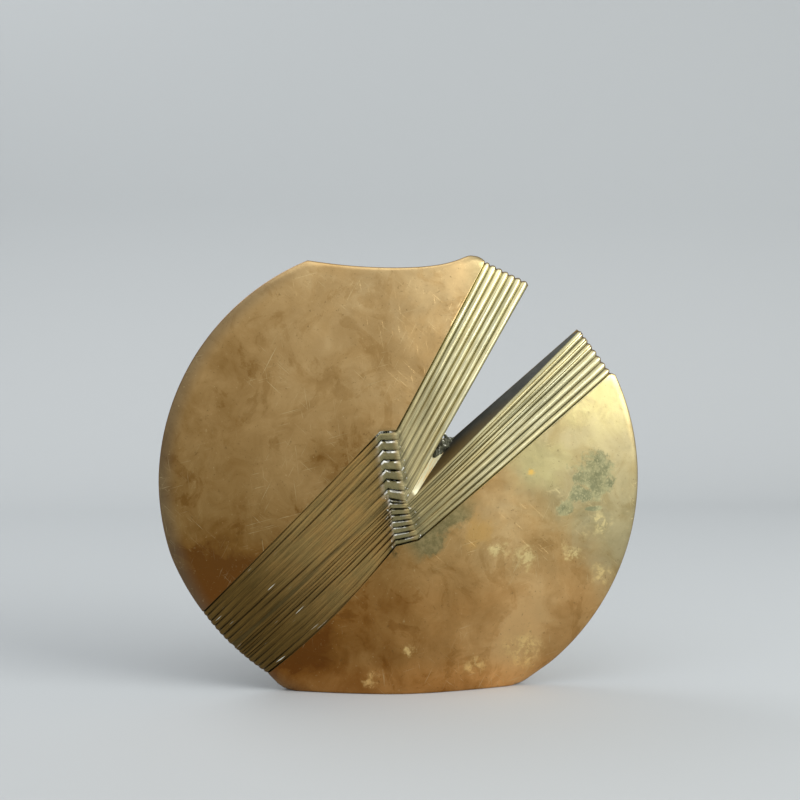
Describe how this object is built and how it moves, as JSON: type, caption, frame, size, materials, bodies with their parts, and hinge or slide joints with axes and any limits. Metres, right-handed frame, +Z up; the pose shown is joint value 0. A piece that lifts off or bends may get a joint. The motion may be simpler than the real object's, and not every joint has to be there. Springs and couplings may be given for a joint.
{
  "type": "flat disc vase",
  "caption": "Flat disc-shaped brass vase with a lens-shaped section, a flat foot, a dipped mouth and a wedge notch with ribbed bands along both sides.",
  "frame": {"origin": "middle of the flat foot, on the surface that the vase stands on", "axes": "+X to the right across the disc, seen from the pictured side; +Y through the vase to its back; +Z up"},
  "size_m": [0.28, 0.05, 0.2519],
  "materials": {
    "cast_brass": "cast and polished, with an aged brown-gold patina",
    "brazing_filler": "dull and greenish",
    "sheet_brass": "rolled, tarnished"
  },
  "bodies": {
    "root": {"front_shell": "cast_brass", "back_shell": "cast_brass", "left_seam": "brazing_filler", "right_seam": "brazing_filler", "base_plate": "sheet_brass"}
  },
  "joints": []
}
